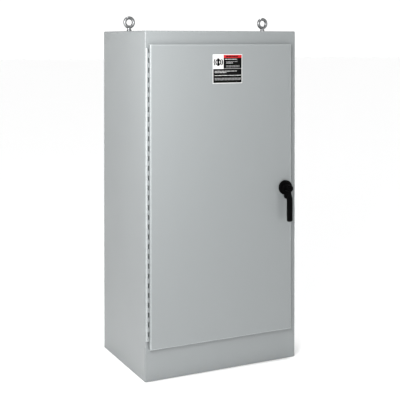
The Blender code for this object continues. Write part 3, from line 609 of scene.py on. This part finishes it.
class LabelPrint:
    """Draws inks on the label; places are fractions of the print from its top left corner."""

    inks = ["white", "black", "red", "grey"]
    layer = 0.00006  # what each further layer of ink stands out
    border = 0.0026  # the white edge round the print
    trim_low = Vector((0.0042, 0.0, 0.0035))  # how far the photo's label ends inside the solid
    trim_high = Vector((0.0005, 0.0, 0.0028))
    sunk = 0.6  # the part of the label's thickness that each patch of ink goes down

    def __init__(self):
        low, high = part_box("notice_label")
        low += self.trim_low
        high -= self.trim_high
        self.face = low.y
        self.rear = low.y + self.sunk * (high.y - low.y)
        self.left, self.top = low.x + self.border, high.z - self.border
        self.width = high.x - low.x - 2 * self.border
        self.height = high.z - low.z - 2 * self.border
        self.bm = bmesh.new()
        self.paint(draw_block(self.bm, low, high), "white")

    def paint(self, verts, ink):
        for face in {f for v in verts for f in v.link_faces}:
            face.material_index = self.inks.index(ink)

    def spot(self, across, down, layer):
        x, z = self.left + across * self.width, self.top - down * self.height
        return Vector((x, self.face - self.layer * layer, z))

    def patch(self, ink, left, top, right, bottom, layer):
        high = self.spot(right, top, layer)
        high.y = self.rear
        self.paint(draw_block(self.bm, self.spot(left, bottom, layer), high), ink)

    def words(self, ink, top, tall, left, right):
        """A line of short bars where words would be; each line starts with another length."""
        lengths = (0.075, 0.045, 0.095, 0.060, 0.110, 0.040, 0.085)
        gap, shortest = 0.014, 0.02
        start, count = left, int(100 * (left + top))
        while start < right - shortest:
            end = min(start + lengths[count % len(lengths)], right)
            self.patch(ink, start, top, end, top + tall, 3)
            start, count = end + gap, count + 1

    def shape(self, ink, outline, layer):
        """A flat face through (across, down) points."""
        verts = [self.bm.verts.new(self.spot(x, z, layer)) for x, z in outline]
        self.bm.faces.new(verts).material_index = self.inks.index(ink)


def arc_band(centre, inner, outer, start, end, tall, steps=8):
    """A stretch of a ring, with angles in degrees and heights scaled by tall."""
    edge = []
    for radius, order in ((outer, range(steps + 1)), (inner, range(steps, -1, -1))):
        for k in order:
            angle = math.radians(start + (end - start) * k / steps)
            across, down = radius * math.cos(angle), radius * tall * math.sin(angle)
            edge.append((centre[0] + across, centre[1] + down))
    return edge


# The label's patches: ink, left, top, right, bottom, layer.
PATCHES = (
    ("white", 0.0, 0.0, 0.352, 0.485, 2),
    ("black", 0.358, 0.02, 1.0, 0.485, 1),
    ("red", 0.358, 0.0, 1.0, 0.110, 2),
    ("grey", 0.358, 0.485, 1.0, 0.500, 1),
    ("black", 0.0, 0.500, 1.0, 1.0, 1),
)
# Its lines of bars: ink, top, height, left, right.
LINES = (
    ("black", 0.036, 0.044, 0.45, 0.87),
    ("white", 0.150, 0.016, 0.41, 0.84),
    ("grey", 0.232, 0.016, 0.45, 0.87),
    ("white", 0.285, 0.014, 0.45, 0.70),
    ("grey", 0.384, 0.016, 0.45, 0.92),
    ("grey", 0.426, 0.016, 0.45, 0.92),
    ("white", 0.575, 0.014, 0.05, 0.86),
    ("white", 0.625, 0.014, 0.05, 0.46),
    ("white", 0.728, 0.015, 0.05, 0.97),
    ("grey", 0.826, 0.016, 0.05, 0.97),
    ("grey", 0.856, 0.016, 0.05, 0.97),
    ("grey", 0.886, 0.016, 0.05, 0.97),
)


def make_label():
    """A generic notice: a symbol panel, a red band and bars where words would be."""
    label = LabelPrint()
    for patch in PATCHES:
        label.patch(*patch)
    for line in LINES:
        label.words(*line)
    draw_symbol(label, (0.176, 0.26))
    piece = add_piece(
        "notice_label_print", label.bm, NODE_BODY["notice_label"], "label_face",
        smooth_angle=30, materials=[INK[ink] for ink in label.inks],
    )
    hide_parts("notice_label")


def draw_symbol(label, centre):
    """A plain upright bar with two pairs of arcs beside it, as for a field round a live part."""
    aspect = label.width / label.height
    x, z = centre
    post, reach = 0.038, 0.138
    label.patch("black", x - post, z - reach, x + post, z + reach, 4)
    for inner, outer, spread in ((0.064, 0.108, 62), (0.126, 0.166, 42)):
        for facing in (0, 180):
            band = arc_band(centre, inner, outer, facing - spread, facing + spread, aspect)
            label.shape("black", band, 4)


# ---------------------------------------------------------------- handle and lifting eyes


GROWTH = 0.0018  # the photo's hub and disc are larger than the solids by this much


def make_lever():
    """A cast lever: a round hub with a recess for the lock, and an arm that flares to its grip.

    Heights along the arm are measured from the hub's centre.
    """
    low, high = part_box("latch_lever")
    hub, length = high.z - LATCH.z + GROWTH, high.y - low.y
    recess, recess_depth = 0.0098, 0.0018
    arm_front, arm_thick = low.y + 0.0022, 0.014
    neck, grip, lean = 0.0092, 0.0164, 0.0012
    arm_top, flare_top, flare_end = -0.004, -0.024, -0.062
    flare_steps, corner, corner_steps = 8, 0.010, 6
    tip = low.z - LATCH.z
    middle_y = arm_front + arm_thick / 2
    bm = bmesh.new()
    lathe(bm, (LATCH.x, high.y, LATCH.z), FRONTWARD, (
        (0.0, hub - 0.0010), (0.0010, hub), (length - 0.0022, hub), (length - 0.0008, hub - 0.0007),
        (length, hub - 0.0022), (length, recess), (length - recess_depth, recess - 0.0002),
    ), 48)
    rings = []

    def add_ring(z, half, shift, half_depth):
        centre = (LATCH.x + shift, middle_y, LATCH.z + z)
        rings.append(soft_ring(bm, centre, half, half_depth, power=6.0))

    add_ring(arm_top, neck, 0.0, arm_thick / 2)
    for k in range(flare_steps + 1):
        share = k / flare_steps
        eased = share ** 2 * (3 - 2 * share)
        z = flare_top + (flare_end - flare_top) * share
        add_ring(z, neck + (grip - neck) * eased, lean * eased, arm_thick / 2)
    for share in (0.35, 0.7):
        add_ring(flare_end + (tip + corner - flare_end) * share, grip, lean, arm_thick / 2)
    for k in range(corner_steps + 1):
        angle = math.radians(78 * k / corner_steps)
        cut_back = corner * (1 - math.cos(angle))
        z = tip + corner * (1 - math.sin(angle))
        add_ring(z, grip - cut_back, lean, arm_thick / 2 - 0.5 * cut_back)
    skin(bm, rings)
    piece = fused("latch_lever_cast", bm, NODE_BODY["latch_lever"], "black_casting", voxel=0.0009)
    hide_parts("latch_lever")


def make_latch_base():
    """A cast escutcheon: a disc with a lobe below it, and a boss that carries the lever."""
    low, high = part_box("latch_base")
    disc = high.z - LATCH.z + GROWTH
    lobe_x, lobe = 0.009, 0.0152
    lobe_z = low.z + lobe - LATCH.z
    lever_rear, door_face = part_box("latch_lever")[1].y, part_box("door")[0].y
    plate_front = lever_rear + 0.0107
    outline = []
    right = math.acos((lobe_x + lobe) / disc)
    left = math.acos((lobe_x - lobe) / disc)
    disc_steps, lobe_steps = 48, 16
    for k in range(disc_steps + 1):
        angle = -right + (2 * math.pi - left + right) * k / disc_steps
        outline.append((disc * math.cos(angle), disc * math.sin(angle)))
    for k in range(lobe_steps + 1):
        angle = math.pi + math.pi * k / lobe_steps
        outline.append((lobe_x + lobe * math.cos(angle), lobe_z + lobe * math.sin(angle)))
    bm = bmesh.new()
    rings = []
    for y in (door_face - OFF_FACE, plate_front):
        rings.append([bm.verts.new((LATCH.x + x, y, LATCH.z + z)) for x, z in outline])
    skin(bm, rings)
    sunk, under_lever = 0.003, 0.0005
    rise = sunk + plate_front - lever_rear - under_lever
    lathe(bm, (LATCH.x, plate_front + sunk, LATCH.z), FRONTWARD, (
        (0.0, 0.0225), (sunk, 0.0215), (0.005, 0.0188), (rise - 0.001, 0.0170), (rise, 0.0160),
    ), 48)
    piece = fused("latch_base_cast", bm, NODE_BODY["latch_base"], "black_casting", voxel=0.0010)
    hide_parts("latch_base")


def make_lifting_eye(side):
    """A forged eye: a ring whose shoulders run down into a neck, on a round collar."""
    node = "lifting_eye_" + side
    low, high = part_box(node)
    wire, shank, neck_rise, overlap = 0.0088, 0.0062, 0.006, 0.004
    ring = (high.x - low.x) / 2 - wire
    x, y = (low.x + high.x) / 2, (low.y + high.y) / 2
    centre_z = high.z - ring - wire
    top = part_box("enclosure_body")[1].z + OFF_FACE
    bm = bmesh.new()
    draw_ring(bm, (x, y, centre_z), ring, wire)
    neck_low, neck_high = top + neck_rise, centre_z - ring + overlap
    rings = []
    for share, half_x, half_y in (
        (0.0, 0.0105, 0.0090),
        (0.35, 0.0105, 0.0086),
        (0.7, 0.0130, 0.0080),
        (1.0, 0.0175, 0.0064),
    ):
        z = neck_low + (neck_high - neck_low) * share
        rings.append(soft_ring(bm, (x, y, z), half_x, half_y, power=2.4, steps=24))
    skin(bm, rings)
    collar = ((0.0, 0.0135), (0.0055, 0.0135), (0.0075, 0.0120), (0.0085, 0.0090))
    lathe(bm, (x, y, top), UPWARD, collar, 40)
    bolt = ((0.0, shank - 0.0008), (0.001, shank), (top + 0.002 - low.z, shank))
    lathe(bm, (x, y, low.z), UPWARD, bolt, 24)
    piece = fused(node + "_forged", bm, NODE_BODY[node], "zinc_plate", voxel=0.0010, passes=3)
    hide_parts(node)


# ---------------------------------------------------------------- inside the cabinet


def front_of(node):
    """The middle of a node's front."""
    low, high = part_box(node)
    return Vector(((low.x + high.x) / 2, low.y, (low.z + high.z) / 2))


def corners_of(node, inset):
    """Four places on a node's front, inset from its corners."""
    low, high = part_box(node)
    across = (low.x + inset, high.x - inset)
    return [(x, low.y, z) for x in across for z in (low.z + inset, high.z - inset)]


def row_along(node, first, pitch, count):
    """Places in a row along the middle of a bar's front."""
    low, middle_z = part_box(node)[0], front_of(node).z
    return [(low.x + first + pitch * k, low.y, middle_z) for k in range(count)]


# Half the thread's diameter of each kind of bolt, and the radius of each screw's head.
PANEL_STUD, BOARD_BOLT, BEARING_BOLT, BAR_BOLT = 0.0050, 0.0045, 0.0024, 0.0035
LUG_SCREW, NEUTRAL_SCREW, GROUND_SCREW = 0.0076, 0.0085, 0.0078
FOOT_THICK, BAR_THICK = 0.008, 0.006


def add_bolts(name, places, size, draw=draw_bolt):
    """Zinc bolts or nuts that face the front; size is half the thread's diameter."""
    fasteners(name, "cabinet", "zinc_plate", draw, places, FRONTWARD, size)


def add_screws(name, places, radius):
    """Steel socket screws that face the front; radius is that of the head."""
    fasteners(name, "cabinet", "bright_steel", draw_socket_screw, places, FRONTWARD, radius)


def add_cabinet_fasteners():
    add_bolts("panel_nuts", corners_of("mounting_panel", 0.030), PANEL_STUD, draw_nut)
    add_bolts("board_bolts", corners_of("switch_base", 0.020), BOARD_BOLT)
    feet = []
    for side in ("left", "right"):
        node = "shaft_bearing_" + side
        x, y = front_of(node).x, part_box(node)[1].y - FOOT_THICK
        feet += [(x + dx, y, SHAFT.z + dz) for dx in (-0.012, 0.012) for dz in (-0.020, 0.020)]
    add_bolts("bearing_bolts", feet, BEARING_BOLT)


def add_conductor_fasteners():
    bar_bolts, lug_screws = [], []
    for pole in POLES:
        for kind, rise in (("normal", 0.165), ("emergency", -0.165)):
            node = kind + "_contact_" + pole
            bar_bolts.append((front_of(node).x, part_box(node)[1].y - BAR_THICK, SHAFT.z + rise))
        right_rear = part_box("load_bus_" + pole)[1]
        for rise in (-0.10, -0.20):
            bar_bolts.append((right_rear.x - 0.012, right_rear.y - BAR_THICK, SHAFT.z + rise))
        for kind in ("normal", "emergency", "load"):
            lug_screws.append(front_of(kind + "_lug_" + pole))
    add_bolts("bar_bolts", bar_bolts, BAR_BOLT)
    add_screws("lug_screws", lug_screws, LUG_SCREW)
    add_screws("neutral_screws", row_along("neutral_bar", 0.030, 0.044, 6), NEUTRAL_SCREW)
    add_screws("ground_screws", row_along("ground_bar", 0.020, 0.040, 6), GROUND_SCREW)


def add_door_fasteners():
    """Rivets on the latch case and guides, seen with the door open."""
    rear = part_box("latch_case")[1].y
    rivets = [(LATCH.x + x, rear, LATCH.z + z) for x in (-0.018, 0.018) for z in (-0.045, 0.045)]
    for side in ("upper", "lower"):
        low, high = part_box(side + "_rod_guide")
        rivets.append(((low.x + high.x) / 2, high.y, (low.z + high.z) / 2))
    head = ((0.0, 0.0034), (0.0005, 0.0034), (0.0012, 0.0026), (0.0016, 0.0012))
    bm = bmesh.new()
    for at in rivets:
        lathe(bm, at, BACKWARD, head, 20)
    add_piece("latch_rivets", bm, "door", "zinc_plate", smooth_angle=30)


def make_lever_grip():
    """A moulded grip with finger grooves, on the operating lever's line at rest."""
    below_level = math.radians(40)
    near, far = 0.139, 0.255  # along the lever, from the shaft's axis
    radius, groove, grooved_from, steps = 0.015, 0.0011, 0.004, 40
    along = Vector((0.0, -math.cos(below_level), -math.sin(below_level)))
    low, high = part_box("lever_grip")
    start = Vector(((low.x + high.x) / 2, SHAFT.y, SHAFT.z)) + along * near
    length = far - near
    profile = [(0.0, radius - 0.004), (0.0012, radius - 0.0018), (grooved_from, radius)]
    for k in range(1, steps):
        share = k / steps
        depth = groove * math.sin(4 * math.pi * share) ** 2
        profile.append((grooved_from + (length - 0.010) * share, radius - depth))
    profile += [
        (length - 0.006, radius),
        (length - 0.0025, radius - 0.0018),
        (length - 0.0006, radius - 0.005),
        (length, radius - 0.009),
    ]
    bm = bmesh.new()
    lathe(bm, start, along, profile, 40)
    body = NODE_BODY["lever_grip"]
    piece = add_piece("lever_grip_moulded", bm, body, "red_insulator", smooth_angle=40)
    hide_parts("lever_grip")


# ---------------------------------------------------------------- assembly


# How wide the rounding of each node's edges is, where it isn't the common one.
COMMON_EDGE = 0.0005
EDGES = {
    "enclosure_body": 0.0006,
    "door": 0.0006,
    "hinge_leaf_body": 0.0003,
    "hinge_leaf_door": 0.0003,
    "door_gasket": 0.0015,
    "latch_pinion": 0.0002,
    "lock_plug": 0.0004,
    "lifting_eye_nut_left": 0.0008,
    "lifting_eye_nut_right": 0.0008,
}
# Nodes that get a piece of their own drawing instead of a refined copy.
REBUILT = {
    "notice_label",
    "latch_lever",
    "latch_base",
    "lifting_eye_left",
    "lifting_eye_right",
    "lever_grip",
}


def main():
    set_stage()
    add_lights()
    add_camera()
    for node in sorted(NODES):
        if node not in REBUILT:
            refined(node, EDGES.get(node, COMMON_EDGE))
    make_label()
    make_lever()
    make_latch_base()
    make_lifting_eye("left")
    make_lifting_eye("right")
    add_cabinet_fasteners()
    add_conductor_fasteners()
    add_door_fasteners()
    make_lever_grip()


main()
